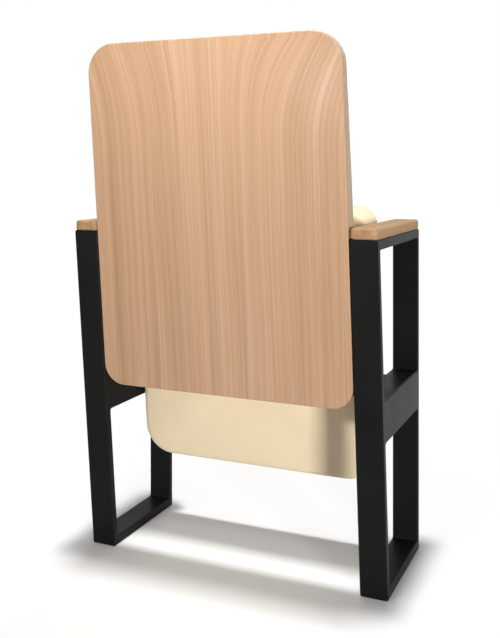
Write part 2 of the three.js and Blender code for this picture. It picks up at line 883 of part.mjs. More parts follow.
const seatRearRadius = 60;
const seatFrontRadius = 38;
const seatPanelInset = 10;
const seatBoardThickness = 9;
const seatBoardInset = 13;
const seatEdgeRadius = 12;
const seatCrown = 5;
const seatDrawIn = 3;
const hingeRearReach = 60;
const hingeFrontReach = 112;
const hingeEndMargin = 13;
const hingeMiddleScrewAlong = 50;
const hingeFlangeLedge = 8;
const hingeCornerRadius = 6;
const hingeEyeRadius = 15;
const hingeFootRadius = 1;
const hingeScrewPlaces = [
  hingeEndMargin - hingeRearReach,
  hingeMiddleScrewAlong,
  hingeFrontReach - hingeEndMargin,
];
const seatPanelFace = pivotToUnderside + fit;
const seatBoardFace = seatPanelFace + seatPanelThickness + fit;
const hingeScrew = {
  headRadius: 5,
  headHeight: 3,
  shankRadius: 2.5,
  shankLength: seatBoardFace - flangeFace + seatBoardThickness * screwBiteShare,
};
const hingeFlangeInside = innerWebInside - hingeFlangeLedge;
const hingeScrewX = (hingeFlangeInside + outerWebOutside) / 2;

function seatOutline(inset) {
  return roundedRectangle(
    inset - seatHalfWidth, seatHalfWidth - inset, inset - seatRearReach, seatFrontReach - inset,
    seatRearRadius - inset, seatFrontRadius - inset);
}

function seatHoles(near, length) {
  return sides.flatMap((side) => hingeScrewPlaces.map((along) => holeForward(
    hingeScrew.shankRadius + fit, side.sign * hingeScrewX, near + length, length, along)));
}

function seatPanelGeometry() {
  const panel = slabForward(
    seatOutline(seatPanelInset), seatPanelFace + seatPanelThickness, seatPanelThickness,
    panelEdge, 6);
  return cut(panel, seatHoles(seatPanelFace - overrun, seatPanelThickness + 2 * overrun));
}

function seatBoardGeometry() {
  const board = slabForward(
    seatOutline(seatBoardInset), seatBoardFace + seatBoardThickness, seatBoardThickness, 0, 4);
  const reach = flangeFace + hingeScrew.shankLength;
  return cut(board, seatHoles(seatBoardFace - overrun, reach + fit - seatBoardFace + overrun));
}

function seatCushionGeometry() {
  const cushion = cushionGeometry({
    halfWidth: seatHalfWidth,
    bottom: -seatRearReach,
    top: seatFrontReach,
    bottomRadius: seatRearRadius,
    topRadius: seatFrontRadius,
    base: seatPanelFace,
    drawIn: seatDrawIn,
    edgeRadius: seatEdgeRadius,
    crown: seatCrown,
    rimAt: () => seatCushionRim + seatBoardFace - seatPanelFace,
  });
  const boardTop = seatBoardFace + seatBoardThickness + fit;
  const boardPocket = slabForward(
    seatOutline(seatBoardInset - fit), boardTop, boardTop - seatPanelFace + overrun, 0, 4);
  const panelTop = seatPanelFace + seatPanelThickness + fit;
  const panelPocket = slabForward(
    seatOutline(seatPanelInset - fit), panelTop, panelTop - seatPanelFace + overrun, 0, 4);
  return cut(cushion, [join(boardPocket, [panelPocket])]);
}

function hingeWebOutline() {
  return hullOutline([
    [0, 0, hingeEyeRadius],
    [flangeFace, hingeFootRadius - hingeFootReach, hingeFootRadius],
    [flangeFace, hingeFootReach - hingeFootRadius, hingeFootRadius],
  ]);
}

function seatHingeGeometry() {
  const flangeShape = roundedRectangle(
    hingeFlangeInside, outerWebOutside, -hingeRearReach, hingeFrontReach, hingeCornerRadius);
  const flange = slabForward(flangeShape, pivotToUnderside, hingeFlangeThickness, 0);
  const webs = [outerWebInside, innerWebInside].map((x) =>
    slabAcross(hingeWebOutline(), x, hingeWebThickness, 0));
  const bore = rodAlongX(pivotPinRadius + bushWall + 2 * fit, innerWebInside - overrun,
    outerWebOutside + overrun, 0, 0);
  const screwHoles = hingeScrewPlaces.map((along) => holeForward(
    hingeScrew.shankRadius + fit, hingeScrewX, pivotToUnderside + overrun,
    hingeFlangeThickness + 2 * overrun, along));
  return cut(join(flange, webs), [bore, ...screwHoles]);
}

// A flanged bush in a web, with its flange on the side that flangeSign names
function bushGeometry(webInside, flangeSign) {
  const inner = pivotPinRadius + fit;
  const outer = inner + bushWall;
  const profile = [
    [inner, 0],
    [outer, 0],
    [outer, hingeWebThickness + fit],
    [bushFlangeRadius, hingeWebThickness + fit],
    [bushFlangeRadius, hingeWebThickness + fit + bushFlangeThickness],
    [inner, hingeWebThickness + fit + bushFlangeThickness],
    [inner, 0],
  ];
  const geometry = turnedAlongX(profile);
  if (flangeSign < 0) geometry.rotateY(Math.PI);
  geometry.translate(flangeSign < 0 ? webInside + hingeWebThickness : webInside, 0, 0);
  return geometry;
}

place('seat_panel', seatPanelGeometry(), oak, seat);
place('seat_board', seatBoardGeometry(), plywood, seat);
place('seat_cushion', seatCushionGeometry(), creamCloth, seat);
placePair('seat_hinge', seatHingeGeometry(), paintedSteel, seat);
placePair('pivot_bush_outer', bushGeometry(outerWebInside, 1), nylon, seat);
placePair('pivot_bush_inner', bushGeometry(innerWebInside, -1), nylon, seat);

hingeScrewPlaces.forEach((along, i) => {
  const geometry = panHeadScrew(hingeScrew);
  geometry.rotateX(Math.PI / 2);
  geometry.translate(hingeScrewX, flangeFace - fit, along);
  placePair(`hinge_screw_${['rear', 'middle', 'front'][i]}`, geometry, zincSteel, seat);
});

// The origin is under the middle of the whole seat, on the floor

const rearmost = (backPanelTop - panelEdge) * Math.sin(lean);
seatAssembly.position.y = -(rearmost + frameFront) / 2;

export default seatAssembly;
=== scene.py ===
import json
import math

import bmesh
import bpy
from mathutils import Matrix, Vector


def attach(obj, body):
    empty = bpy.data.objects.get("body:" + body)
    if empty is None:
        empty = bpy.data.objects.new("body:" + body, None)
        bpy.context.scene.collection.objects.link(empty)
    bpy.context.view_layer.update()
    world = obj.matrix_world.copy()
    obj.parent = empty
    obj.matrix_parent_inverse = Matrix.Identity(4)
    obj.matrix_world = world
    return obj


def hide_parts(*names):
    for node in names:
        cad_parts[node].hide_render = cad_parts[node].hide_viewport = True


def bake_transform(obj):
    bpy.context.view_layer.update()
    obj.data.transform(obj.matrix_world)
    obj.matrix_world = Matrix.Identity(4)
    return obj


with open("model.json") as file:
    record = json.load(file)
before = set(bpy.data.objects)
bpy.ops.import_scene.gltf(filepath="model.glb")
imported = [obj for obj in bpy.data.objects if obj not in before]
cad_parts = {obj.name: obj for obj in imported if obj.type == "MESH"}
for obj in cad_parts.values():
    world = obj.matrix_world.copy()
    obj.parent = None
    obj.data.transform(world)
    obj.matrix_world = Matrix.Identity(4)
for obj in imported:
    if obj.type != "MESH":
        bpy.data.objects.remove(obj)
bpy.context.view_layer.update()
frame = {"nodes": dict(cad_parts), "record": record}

# Tip-up auditorium seat, seen from behind. Metres, Z up, the sitter faces -Y.

scene = bpy.context.scene
nodes = frame["nodes"]
record = frame["record"]
leanAngle = math.radians(5.8)
leanUp = Vector((0.0, math.sin(leanAngle), math.cos(leanAngle)))
leanBack = Vector((0.0, math.cos(leanAngle), -math.sin(leanAngle)))
pivot = Vector(record["behaviour"]["joints"][0]["pos_m"])
print("frame loaded:", len(nodes), "nodes")


# Helpers for node trees

def feed(tree, socket, value):
    if isinstance(value, bpy.types.NodeSocket):
        tree.links.new(value, socket)
    else:
        socket.default_value = value


def addNode(tree, kind, values=None, settings=None):
    made = tree.nodes.new(kind)
    for name, value in (settings or {}).items():
        setattr(made, name, value)
    for name, value in (values or {}).items():
        feed(tree, made.inputs[name], value)
    return made


def calc(tree, operation, first, second=0.0, third=0.0):
    made = addNode(tree, "ShaderNodeMath", settings={"operation": operation})
    for socket, value in zip(made.inputs, (first, second, third)):
        feed(tree, socket, value)
    return made.outputs[0]


def vectorCalc(tree, operation, first, second=(0.0, 0.0, 0.0)):
    made = addNode(tree, "ShaderNodeVectorMath", settings={"operation": operation})
    for socket, value in zip(made.inputs, (first, second)):
        feed(tree, socket, value)
    return made.outputs


def remap(tree, value, low, high, newLow=0.0, newHigh=1.0, smooth=False):
    made = addNode(tree, "ShaderNodeMapRange", {
        "Value": value, "From Min": low, "From Max": high, "To Min": newLow, "To Max": newHigh,
    }, {"interpolation_type": "SMOOTHSTEP" if smooth else "LINEAR"})
    return made.outputs[0]


def noise(tree, vector, scale, detail, roughness=0.5):
    made = addNode(tree, "ShaderNodeTexNoise", {
        "Vector": vector, "Scale": scale, "Detail": detail, "Roughness": roughness})
    return made.outputs[0]


def stretchedNoise(tree, vector, pattern):
    scales, detail, roughness = pattern
    stretched = vectorCalc(tree, "MULTIPLY", vector, scales)["Vector"]
    return noise(tree, stretched, 1.0, detail, roughness)


def evenOut(tree, value):
    # most of a noise's values lie between 0.3 and 0.7
    return remap(tree, value, 0.3, 0.7)


def blendColour(tree, amount, first, second):
    # the colour sockets of a mix node are its inputs 6 and 7 and its output 2
    made = addNode(tree, "ShaderNodeMix", settings={"data_type": "RGBA"})
    for index, value in ((0, amount), (6, first), (7, second)):
        feed(tree, made.inputs[index], value)
    return made.outputs[2]


def mixShaders(tree, amount, first, second):
    made = tree.nodes.new("ShaderNodeMixShader")
    for socket, value in zip(made.inputs, (amount, first, second)):
        feed(tree, socket, value)
    return made.outputs[0]


def splitVector(tree, vector):
    return addNode(tree, "ShaderNodeSeparateXYZ", {"Vector": vector}).outputs


def joinVector(tree, x, y, z):
    return addNode(tree, "ShaderNodeCombineXYZ", {"X": x, "Y": y, "Z": z}).outputs[0]


def newGroup(name, inputs, outputs):
    tree = bpy.data.node_groups.new(name, "ShaderNodeTree")
    for label, kind, value in inputs:
        socket = tree.interface.new_socket(label, in_out="INPUT", socket_type="NodeSocket" + kind)
        if value is not None:
            socket.default_value = value
    for label, kind in outputs:
        tree.interface.new_socket(label, in_out="OUTPUT", socket_type="NodeSocket" + kind)
    return tree, tree.nodes.new("NodeGroupInput").outputs, tree.nodes.new("NodeGroupOutput").inputs


def useGroup(tree, group, values):
    made = tree.nodes.new("ShaderNodeGroup")
    made.node_tree = group
    for name, value in values.items():
        feed(tree, made.inputs[name], value)
    return made.outputs


def srgb(red, green, blue):
    # out of 255 each, by the usual curve for screens
    def toLinear(level):
        share = level / 255
        return share / 12.92 if share <= 0.04045 else ((share + 0.055) / 1.055) ** 2.4
    return (toLinear(red), toLinear(green), toLinear(blue), 1.0)


def newMaterial(name):
    made = bpy.data.materials.new(name)
    made.use_nodes = True
    tree = made.node_tree
    return made, tree, tree.nodes["Principled BSDF"]


def setInputs(shader, values):
    for name, value in values.items():
        shader.inputs[name].default_value = value


def placeCoordinates(tree, tilt=0.0):
    place = addNode(tree, "ShaderNodeTexCoord").outputs["Object"]
    if not tilt:
        return place
    turned = addNode(tree, "ShaderNodeMapping", {"Vector": place, "Rotation": (tilt, 0.0, 0.0)})
    return turned.outputs[0]


def addBump(tree, shader, height, look):
    bump = addNode(tree, "ShaderNodeBump", {
        "Height": height, "Strength": look["bump"], "Distance": look["relief"]})
    feed(tree, shader.inputs["Normal"], bump.outputs[0])


# Effects shared by the materials

grainPattern = {
    # scales across, into and along the board, then detail and roughness
    "drift": ((3.0, 3.0, 2.2), 2.0, 0.5),
    "waver": ((90.0, 90.0, 150.0), 2.0, 0.6),
    "figure": ((42.0, 42.0, 0.5), 3.0, 0.6),
    "lines": ((230.0, 230.0, 1.6), 4.0, 0.62),
    "streaks": ((95.0, 95.0, 0.9), 2.0, 0.5),
    "pores": ((950.0, 950.0, 24.0), 2.0, 0.5),
    # widths in metres, and the levels between which streaks and pores come in
    "driftWidth": 0.012, "leafOffset": 0.37, "seamWidth": 0.0022,
    "streakLevels": (0.56, 0.74), "poreLevels": (0.6, 0.72),
}
weavePattern = {
    "wobble": 60.0, "wobbleDetail": 2.0, "wobbleTurn": 5.0,
    "slub": ((260.0, 260.0, 900.0), 3.0, 0.6), "clouds": 9.0, "cloudDetail": 3.0,
}
specklePattern = {"gritDetail": 2.0, "cloudDetail": 4.0, "roughness": 0.6}


def makeWoodGrain(pattern):
    # across the grain is X, into the board is Y, along it is Z; a leaf is one strip of veneer
    tree, inputs, outputs = newGroup("woodGrain", [
        ("Vector", "Vector", None),
        ("Leaf Width", "Float", 0.1),
        ("Leaf Start", "Float", 0.0),
        ("Leaf Seed", "Float", 0.0),
        ("Waver", "Float", 0.0006),
    ], [("Leaf", "Float"), ("Seam", "Float"), ("Figure", "Float"), ("Lines", "Float"),
        ("Streaks", "Float"), ("Pores", "Float")])
    place = splitVector(tree, inputs["Vector"])
    leaves = calc(tree, "SUBTRACT", place[0], inputs["Leaf Start"])
    leaves = calc(tree, "DIVIDE", leaves, inputs["Leaf Width"])
    leaf = calc(tree, "FLOOR", leaves)
    seam = calc(tree, "MULTIPLY", calc(tree, "PINGPONG", leaves, 0.5), inputs["Leaf Width"])
    leafTone = addNode(tree, "ShaderNodeTexWhiteNoise", {
        "W": calc(tree, "ADD", leaf, inputs["Leaf Seed"])}, {"noise_dimensions": "1D"})
    drift = calc(tree, "SUBTRACT", stretchedNoise(tree, inputs["Vector"], pattern["drift"]), 0.5)
    across = calc(tree, "ADD", place[0], calc(tree, "MULTIPLY", drift, pattern["driftWidth"]))
    across = calc(tree, "ADD", across, calc(tree, "MULTIPLY", leaf, pattern["leafOffset"]))
    waver = calc(tree, "SUBTRACT", stretchedNoise(tree, inputs["Vector"], pattern["waver"]), 0.5)
    across = calc(tree, "MULTIPLY_ADD", waver, inputs["Waver"], across)
    grain = joinVector(tree, across, place[1], place[2])
    figure = stretchedNoise(tree, grain, pattern["figure"])
    lines = stretchedNoise(tree, grain, pattern["lines"])
    streaks = stretchedNoise(tree, grain, pattern["streaks"])
    pores = stretchedNoise(tree, grain, pattern["pores"])
    feed(tree, outputs["Leaf"], leafTone.outputs["Value"])
    feed(tree, outputs["Seam"], remap(tree, seam, 0.0, pattern["seamWidth"], 1.0, 0.0))
    feed(tree, outputs["Figure"], evenOut(tree, figure))
    feed(tree, outputs["Lines"], evenOut(tree, lines))
    feed(tree, outputs["Streaks"], remap(tree, streaks, *pattern["streakLevels"], smooth=True))
    feed(tree, outputs["Pores"], remap(tree, pores, *pattern["poreLevels"]))
    return tree


def makeWeave(pattern):
    # threads cross in all three directions, so the cloth needs no unwrapping
    tree, inputs, outputs = newGroup("clothWeave", [
        ("Vector", "Vector", None),
        ("Thread", "Float", 0.0012),
    ], [("Height", "Float"), ("Slub", "Float"), ("Cloudy", "Float")])
    turns = calc(tree, "DIVIDE", 2 * math.pi, inputs["Thread"])
    wobble = noise(tree, inputs["Vector"], pattern["wobble"], pattern["wobbleDetail"])
    wobble = calc(tree, "MULTIPLY", wobble, pattern["wobbleTurn"])
    waves = []
    for axis in splitVector(tree, inputs["Vector"]):
        angle = calc(tree, "ADD", calc(tree, "MULTIPLY", axis, turns), wobble)
        waves.append(calc(tree, "SINE", angle))
    height = calc(tree, "ADD", calc(tree, "ADD", waves[0], waves[1]), waves[2])
    slub = stretchedNoise(tree, inputs["Vector"], pattern["slub"])
    clouds = noise(tree, inputs["Vector"], pattern["clouds"], pattern["cloudDetail"])
    feed(tree, outputs["Height"], remap(tree, height, -3.0, 3.0))
    feed(tree, outputs["Slub"], evenOut(tree, slub))
    feed(tree, outputs["Cloudy"], evenOut(tree, clouds))
    return tree


def makeSpeckle(pattern):
    # the fine skin of a coated, moulded or rolled surface, and the faint clouding across it
    tree, inputs, outputs = newGroup("surfaceSpeckle", [
        ("Vector", "Vector", None),
        ("Fineness", "Float", 1200.0),
        ("Clouding", "Float", 14.0),
    ], [("Grit", "Float"), ("Cloud", "Float")])
    place = inputs["Vector"]
    grit = noise(tree, place, inputs["Fineness"], pattern["gritDetail"], pattern["roughness"])
    cloud = noise(tree, place, inputs["Clouding"], pattern["cloudDetail"], pattern["roughness"])
    feed(tree, outputs["Grit"], evenOut(tree, grit))
    feed(tree, outputs["Cloud"], evenOut(tree, cloud))
    return tree


woodGrain = makeWoodGrain(grainPattern)
clothWeave = makeWeave(weavePattern)
surfaceSpeckle = makeSpeckle(specklePattern)
print("shared effects ready")


# Oak

def makeOak(name, look, coordinates):
    material, tree, shader = newMaterial(name)
    place, waver = coordinates(tree, look)
    grain = useGroup(tree, woodGrain, {
        "Vector": place, "Leaf Width": look["leafWidth"], "Leaf Start": look["leafStart"],
        "Leaf Seed": look["leafSeed"], "Waver": waver})
    tone = calc(tree, "MULTIPLY", grain["Figure"], look["figure"])
    tone = calc(tree, "MULTIPLY_ADD", grain["Lines"], look["lines"], tone)
    tone = calc(tree, "MULTIPLY_ADD", grain["Leaf"], look["leaf"], tone)
    colour = blendColour(tree, tone, look["dark"], look["light"])
    warmth = calc(tree, "MULTIPLY", grain["Figure"], look["warmth"])
    colour = blendColour(tree, warmth, colour, look["warm"])
    streakShade = calc(tree, "MULTIPLY", grain["Streaks"], look["streaks"])
    colour = blendColour(tree, streakShade, colour, look["streak"])
    poreShade = calc(tree, "MULTIPLY", grain["Pores"], look["pores"])
    seamShade = calc(tree, "MULTIPLY", grain["Seam"], look["seam"])
    colour = blendColour(tree, calc(tree, "MAXIMUM", poreShade, seamShade), colour, look["pore"])
    feed(tree, shader.inputs["Base Color"], colour)
    feed(tree, shader.inputs["Roughness"], remap(
        tree, grain["Lines"], 0.0, 1.0, look["roughness"] + look["dullHollows"],
        look["roughness"] - look["smoothRidges"]))
    setInputs(shader, {
        "Specular IOR Level": look["shine"], "Coat Weight": look["lacquer"],
        "Coat Roughness": look["lacquerRoughness"]})
    height = calc(tree, "MULTIPLY", grain["Lines"], look["ridges"])
    addBump(tree, shader, calc(tree, "SUBTRACT", height, grain["Pores"]), look)
    return material


def backCoordinates(tree, look):
    # near the upper corners the grain fans outwards, more on the side of -X, and wavers
    place = splitVector(tree, placeCoordinates(tree, leanAngle))
    rise = remap(tree, place[2], look["fanStart"], look["fanEnd"])
    rise = calc(tree, "MULTIPLY", rise, rise)
    reach = look["fanReach"]
    right = remap(tree, place[0], 0.0, reach, 0.0, look["fanRight"], smooth=True)
    left = remap(tree, place[0], 0.0, -reach, 0.0, look["fanLeft"], smooth=True)
    pull = calc(tree, "MULTIPLY", rise, calc(tree, "SUBTRACT", right, left))
    waver = remap(
        tree, place[2], look["waverStart"], look["fanEnd"], look["waver"], look["fanWaver"])
    return joinVector(tree, calc(tree, "SUBTRACT", place[0], pull), place[1], place[2]), waver


def seatCoordinates(tree, look):
    return placeCoordinates(tree, leanAngle), look["waver"]


def armrestCoordinates(tree, look):
    place = splitVector(tree, placeCoordinates(tree))
    return joinVector(tree, place[0], place[2], place[1]), look["waver"]


backOak = {
    "dark": srgb(162, 125, 89), "light": srgb(204, 167, 136), "warm": srgb(195, 143, 114),
    "pore": srgb(144, 104, 69), "streak": srgb(216, 188, 163), "figure": 0.4, "lines": 0.46,
    "leaf": 0.1, "warmth": 0.16, "pores": 0.12, "streaks": 0.3, "seam": 0.35,
    "leafWidth": 0.31, "leafStart": -0.16, "leafSeed": 3.0,
    "roughness": 0.5, "dullHollows": 0.05, "smoothRidges": 0.04, "shine": 0.2,
    "lacquer": 0.12, "lacquerRoughness": 0.2, "bump": 0.12, "relief": 0.0004, "ridges": 0.4,
    "fanStart": 0.79, "fanEnd": 0.98, "fanReach": 0.185625, "fanRight": 0.034, "fanLeft": 0.062,
    "waver": 0.0008, "fanWaver": 0.0045, "waverStart": 0.6,
}
seatOak = dict(backOak, leafStart=-0.06, leafSeed=11.0)
armrestOak = dict(
    backOak, dark=srgb(145, 110, 76), light=srgb(187, 152, 111), warm=srgb(173, 130, 93),
    streak=srgb(194, 162, 123), leafWidth=0.9, leafStart=-0.6, leafSeed=5.0, pores=0.2,
    roughness=0.55, shine=0.12, lacquer=0.0)


plywoodLook = {
    "face": srgb(196, 160, 118), "dark": srgb(140, 100, 64), "light": srgb(214, 182, 140),
    "layer": 0.0015, "faceShare": (0.3, 0.8), "leafWidth": 0.6, "leafSeed": 2.0,
    "roughness": 0.7, "bump": 0.2, "relief": 0.0003,
}


def makePlywood(look):
    material, tree, shader = newMaterial("plywood")
    place = placeCoordinates(tree, leanAngle)
    grain = useGroup(tree, woodGrain, {
        "Vector": place, "Leaf Width": look["leafWidth"], "Leaf Seed": look["leafSeed"]})
    layers = calc(tree, "PINGPONG", splitVector(tree, place)[1], look["layer"])
    layers = remap(tree, layers, 0.0, look["layer"])
    colour = blendColour(tree, layers, look["dark"], look["light"])
    faceShare = remap(tree, grain["Lines"], 0.0, 1.0, *look["faceShare"])
    colour = blendColour(tree, faceShare, colour, look["face"])
    feed(tree, shader.inputs["Base Color"], colour)
    setInputs(shader, {"Roughness": look["roughness"]})
    addBump(tree, shader, grain["Lines"], look)
    return material


# Coated, moulded and bare surfaces

def makeSkin(name, look):
    material, tree, shader = newMaterial(name)
    skin = useGroup(tree, surfaceSpeckle, {
        "Vector": placeCoordinates(tree), "Fineness": look["fineness"],
        "Clouding": look["clouding"]})
    colour = blendColour(tree, skin["Cloud"], look["dark"], look["light"])
    feed(tree, shader.inputs["Base Color"], colour)
    feed(tree, shader.inputs["Roughness"], remap(
        tree, skin["Cloud"], 0.0, 1.0, look["roughness"] - look["unevenness"],
        look["roughness"] + look["unevenness"]))
    setInputs(shader, {"Metallic": look["metallic"], "Specular IOR Level": look["shine"]})
    addBump(tree, shader, skin["Grit"], look)
    return material


powderCoatLook = {
    "dark": (0.0085, 0.0085, 0.0085, 1.0), "light": (0.0115, 0.0115, 0.0113, 1.0),
    "roughness": 0.4, "unevenness": 0.05, "metallic": 0.0, "shine": 0.045,
    "fineness": 1500.0, "clouding": 9.0, "bump": 0.12, "relief": 0.0002,
}
zincLook = {
    "dark": srgb(150, 152, 156), "light": srgb(196, 198, 202),
    "roughness": 0.32, "unevenness": 0.08, "metallic": 1.0, "shine": 0.5,
    "fineness": 2600.0, "clouding": 160.0, "bump": 0.1, "relief": 0.0001,
}
springLook = {
    "dark": srgb(64, 67, 72), "light": srgb(98, 100, 106),
    "roughness": 0.34, "unevenness": 0.08, "metallic": 1.0, "shine": 0.5,
    "fineness": 3000.0, "clouding": 220.0, "bump": 0.08, "relief": 0.0001,
}
nylonLook = {
    "dark": srgb(205, 201, 190), "light": srgb(224, 221, 212),
    "roughness": 0.5, "unevenness": 0.05, "metallic": 0.0, "shine": 0.45,
    "fineness": 2000.0, "clouding": 90.0, "bump": 0.08, "relief": 0.0001,
}
rubberLook = {
    "dark": (0.006, 0.006, 0.006, 1.0), "light": (0.012, 0.012, 0.012, 1.0),
    "roughness": 0.75, "unevenness": 0.08, "metallic": 0.0, "shine": 0.3,
    "fineness": 2200.0, "clouding": 120.0, "bump": 0.25, "relief": 0.0002,
}


# Cloth

clothLook = {
    "shade": srgb(237, 214, 176), "light": srgb(255, 237, 203), "thread": 0.0012,
    "evenTone": 0.18, "slub": 0.26, "weave": 0.12, "cloudy": 0.26,
    "roughness": 0.88, "bump": 0.28, "relief": 0.00035, "slubHeight": 0.5, "shine": 0.2,
    "sheen": 0.2, "sheenRoughness": 0.45,
}
# the pad's side colours are a darker, greyer copy of the same cloth: painted shade on the pad's
# side faces, blended in between the From and To facings
padLook = dict(
    clothLook, paintedSideShadeDark=srgb(168, 150, 131), paintedSideShadeLight=srgb(190, 172, 151),
    paintedSideShadeFrom=0.55, paintedSideShadeTo=0.62)


def makeCloth(name, look):
    material, tree, shader = newMaterial(name)
    weave = useGroup(tree, clothWeave, {
        "Vector": placeCoordinates(tree, leanAngle), "Thread": look["thread"]})
    tone = calc(tree, "MULTIPLY_ADD", weave["Slub"], look["slub"], look["evenTone"])
    tone = calc(tree, "MULTIPLY_ADD", weave["Height"], look["weave"], tone)
    tone = calc(tree, "MULTIPLY_ADD", weave["Cloudy"], look["cloudy"], tone)
    colour = blendColour(tree, tone, look["shade"], look["light"])
    if "paintedSideShadeDark" in look:
        # painted shade: the pad's side faces, turned away from the front, get darker, greyer
        # colours of the same cloth
        normal = addNode(tree, "ShaderNodeTexCoord").outputs["Normal"]
        facing = calc(tree, "ABSOLUTE", vectorCalc(tree, "DOT_PRODUCT", normal, leanBack)["Value"])
        # side is the mask of the painted side shade: 1 on the side faces, 0 on the front and the
        # back
        side = remap(tree, facing, look["paintedSideShadeFrom"], look["paintedSideShadeTo"], 1.0, 0.0, smooth=True)
        paintedSideShadeColour = blendColour(tree, tone, look["paintedSideShadeDark"], look["paintedSideShadeLight"])
        colour = blendColour(tree, side, colour, paintedSideShadeColour)
    feed(tree, shader.inputs["Base Color"], colour)
    setInputs(shader, {
        "Roughness": look["roughness"], "Specular IOR Level": look["shine"],
        "Sheen Weight": look["sheen"], "Sheen Roughness": look["sheenRoughness"]})
    height = calc(tree, "MULTIPLY_ADD", weave["Slub"], look["slubHeight"], weave["Height"])
    addBump(tree, shader, height, look)
    return material


materials = {
    "oak_veneer": makeOak("backOak", backOak, backCoordinates),
    "oak_solid": makeOak("armrestOak", armrestOak, armrestCoordinates),
    "black_powder_coat": makeSkin("powderCoat", powderCoatLook),
    "zinc_steel": makeSkin("zincSteel", zincLook),
    "spring_steel": makeSkin("springSteel", springLook),
    "nylon": makeSkin("nylon", nylonLook),
    "rubber": makeSkin("rubber", rubberLook),
    "plywood": makePlywood(plywoodLook),
    "cream_cloth": makeCloth("creamCloth", clothLook),
}
seatPanelOak = makeOak("seatOak", seatOak, seatCoordinates)
makeCloth("padCloth", padLook)
print("materials ready")


# Finishes on the pieces of the frame

smoothAngle = math.radians(50)


def smoothFaces(mesh):
    for face in mesh.polygons:
        face.use_smooth = True


for subpart in record["subparts"]:
    piece = nodes[subpart["node"]]
    piece.data.materials.clear()
    piece.data.materials.append(materials[subpart["material_slot"]])
    smoothFaces(piece.data)
    piece.data.set_sharp_from_angle(angle=smoothAngle)
    weighted = piece.modifiers.new("evenShading", "WEIGHTED_NORMAL")
    weighted.keep_sharp = True
nodes["seat_panel"].data.materials[0] = seatPanelOak
print("finishes placed on", len(record["subparts"]), "pieces")


# Upholstery

seatCushion = {
    "name": "seatCushionCover", "node": "seat_cushion", "body": "seat", "cloth": "creamCloth",
    "faceOut": leanBack, "shrink": 0.001, "crown": 0.006, "voxel": 0.005, "fill": 0.9,
    "pressure": 4.0, "rim": 0.004, "sideFlatness": 0.35, "clothQuality": 5, "clothFrames": 20,
    "settle": 2, "settleFactor": 0.5,
}
backPad = dict(
    seatCushion, name="backPadCover", node="back_pad", body="stand", cloth="padCloth",
    faceOut=-leanBack, shrink=0.0005, crown=0.004)


def addObject(name, data):
    made = bpy.data.objects.new(name, data)
    scene.collection.objects.link(made)
    return made


def closedForm(node, shrink):
    # the tight closed skin round the CAD cushion, drawn in a little to leave room for swelling
    shape = bmesh.new()
    for vertex in nodes[node].data.vertices:
        shape.verts.new(vertex.co)
    hull = bmesh.ops.convex_hull(shape, input=shape.verts)
    spare = {item for item in hull["geom_interior"] + hull["geom_unused"]
             if isinstance(item, bmesh.types.BMVert)}
    bmesh.ops.delete(shape, geom=list(spare), context="VERTS")
    bmesh.ops.recalc_face_normals(shape, faces=shape.faces)
    shape.normal_update()
    moved = [(vertex, vertex.co - vertex.normal * shrink) for vertex in shape.verts]
    for vertex, place in moved:
        vertex.co = place
    mesh = bpy.data.meshes.new(node + "Form")
    shape.to_mesh(mesh)
    shape.free()
    return mesh


def applyModifiers(piece):
    shown = piece.evaluated_get(bpy.context.evaluated_depsgraph_get())
    mesh = bpy.data.meshes.new_from_object(shown)
    piece.modifiers.clear()
    old = piece.data
    piece.data = mesh
    bpy.data.meshes.remove(old)


def swell(piece, pad):
    # air pressure rounds the cover's face, while its sides and its stapled rim stay in place
    mesh = piece.data
    start = [vertex.co.copy() for vertex in mesh.vertices]
    depths = [place.dot(pad["faceOut"]) for place in start]
    rimDepth = min(depths) + pad["rim"]
    flatness = [abs(vertex.normal.dot(pad["faceOut"])) for vertex in mesh.vertices]
    held = [i for i, depth in enumerate(depths)
            if depth < rimDepth or flatness[i] < pad["sideFlatness"]]
    piece.vertex_groups.new(name="held").add(held, 1.0, "REPLACE")
    cloth = piece.modifiers.new("swell", "CLOTH")
    cloth.settings.quality = pad["clothQuality"]
    cloth.settings.use_pressure = True
    cloth.settings.uniform_pressure_force = pad["pressure"]
    cloth.settings.vertex_group_mass = "held"
    cloth.settings.effector_weights.gravity = 0.0
    for frameNumber in range(pad["clothFrames"]):
        scene.frame_set(frameNumber + 1)
    shown = piece.evaluated_get(bpy.context.evaluated_depsgraph_get())
    places = [vertex.co.copy() for vertex in shown.data.vertices]
    piece.modifiers.clear()
    scene.frame_set(1)
    most = max((after - before).length for before, after in zip(start, places))
    share = min(1.0, pad["crown"] / most)
    for vertex, before, after in zip(mesh.vertices, start, places):
        vertex.co = before + (after - before) * share
    print(pad["name"], "swelled", round(most * 1000, 1), "mm, kept", round(share, 3))


def fitOutline(mesh, node):
    # stretches the cover, seen from the front, to the outline of the CAD cushion
    wanted = nodes[node].data.vertices
    for direction in (Vector((1.0, 0.0, 0.0)), leanUp):
        aims = [vertex.co.dot(direction) for vertex in wanted]
        reaches = [vertex.co.dot(direction) for vertex in mesh.vertices]
        middle = (max(reaches) + min(reaches)) / 2
        aim = (max(aims) + min(aims)) / 2
        scale = (max(aims) - min(aims)) / (max(reaches) - min(reaches))
        for vertex, reach in zip(mesh.vertices, reaches):
            vertex.co += direction * (aim + (reach - middle) * scale - reach)
        print(node, "outline fitted by", round((scale - 1) * 100, 2), "%")


